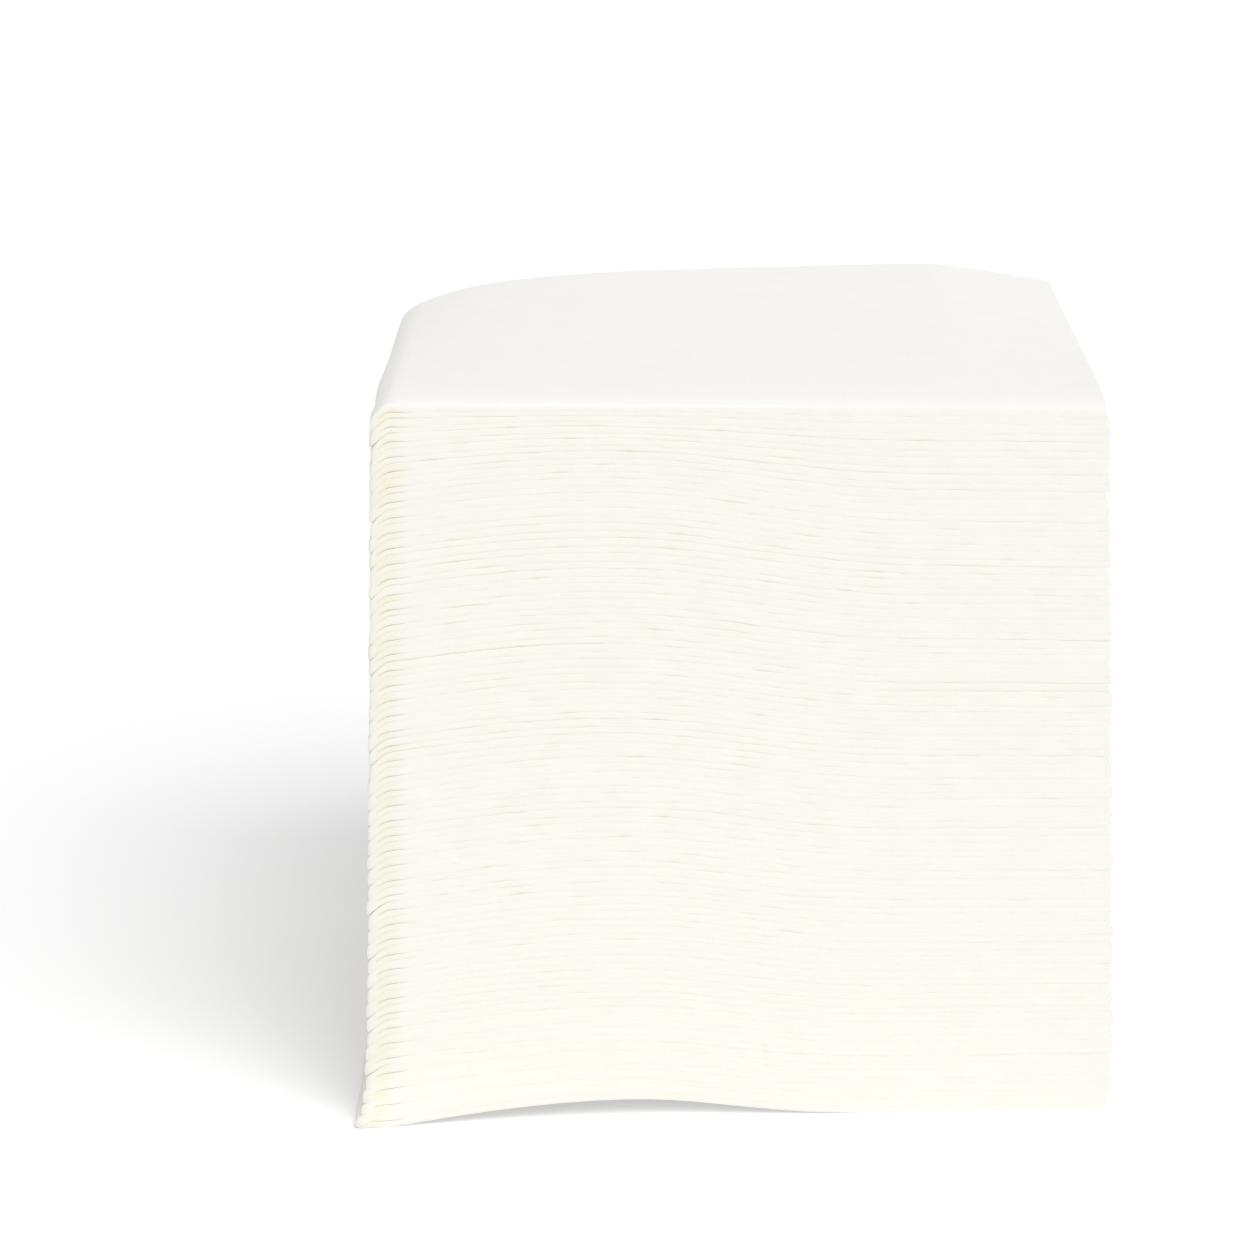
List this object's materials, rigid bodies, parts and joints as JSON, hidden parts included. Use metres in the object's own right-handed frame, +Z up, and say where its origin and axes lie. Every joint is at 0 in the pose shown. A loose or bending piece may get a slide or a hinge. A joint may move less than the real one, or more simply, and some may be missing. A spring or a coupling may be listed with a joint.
{
  "type": "stack of paper napkins",
  "caption": "Free-standing stack of quarter-folded white paper napkins with closed folds on one side.",
  "frame": {"origin": "on the floor, under the middle of the stack's overall box", "axes": "+X from the drooping closed folds to the cut edges, -Y towards the double fold ridges at the front, +Z up"},
  "size_m": [0.1369, 0.1304, 0.1342],
  "materials": {
    "paper": "matt, softly fibrous airlaid paper, warm white"
  },
  "bodies": {
    "root": {"napkin_01": "paper", "napkin_02": "paper", "napkin_03": "paper", "napkin_04": "paper", "napkin_05": "paper", "napkin_06": "paper", "napkin_07": "paper", "napkin_08": "paper", "napkin_09": "paper", "napkin_10": "paper", "napkin_11": "paper", "napkin_12": "paper", "napkin_13": "paper", "napkin_14": "paper", "napkin_15": "paper", "napkin_16": "paper", "napkin_17": "paper", "napkin_18": "paper", "napkin_19": "paper", "napkin_20": "paper", "napkin_21": "paper", "napkin_22": "paper", "napkin_23": "paper", "napkin_24": "paper", "napkin_25": "paper", "napkin_26": "paper", "napkin_27": "paper", "napkin_28": "paper", "napkin_29": "paper", "napkin_30": "paper", "napkin_31": "paper", "napkin_32": "paper", "napkin_33": "paper", "napkin_34": "paper", "napkin_35": "paper", "napkin_36": "paper", "napkin_37": "paper", "napkin_38": "paper", "napkin_39": "paper", "napkin_40": "paper", "napkin_41": "paper", "napkin_42": "paper", "napkin_43": "paper", "napkin_44": "paper", "napkin_45": "paper", "napkin_46": "paper", "napkin_47": "paper", "napkin_48": "paper"}
  },
  "joints": []
}
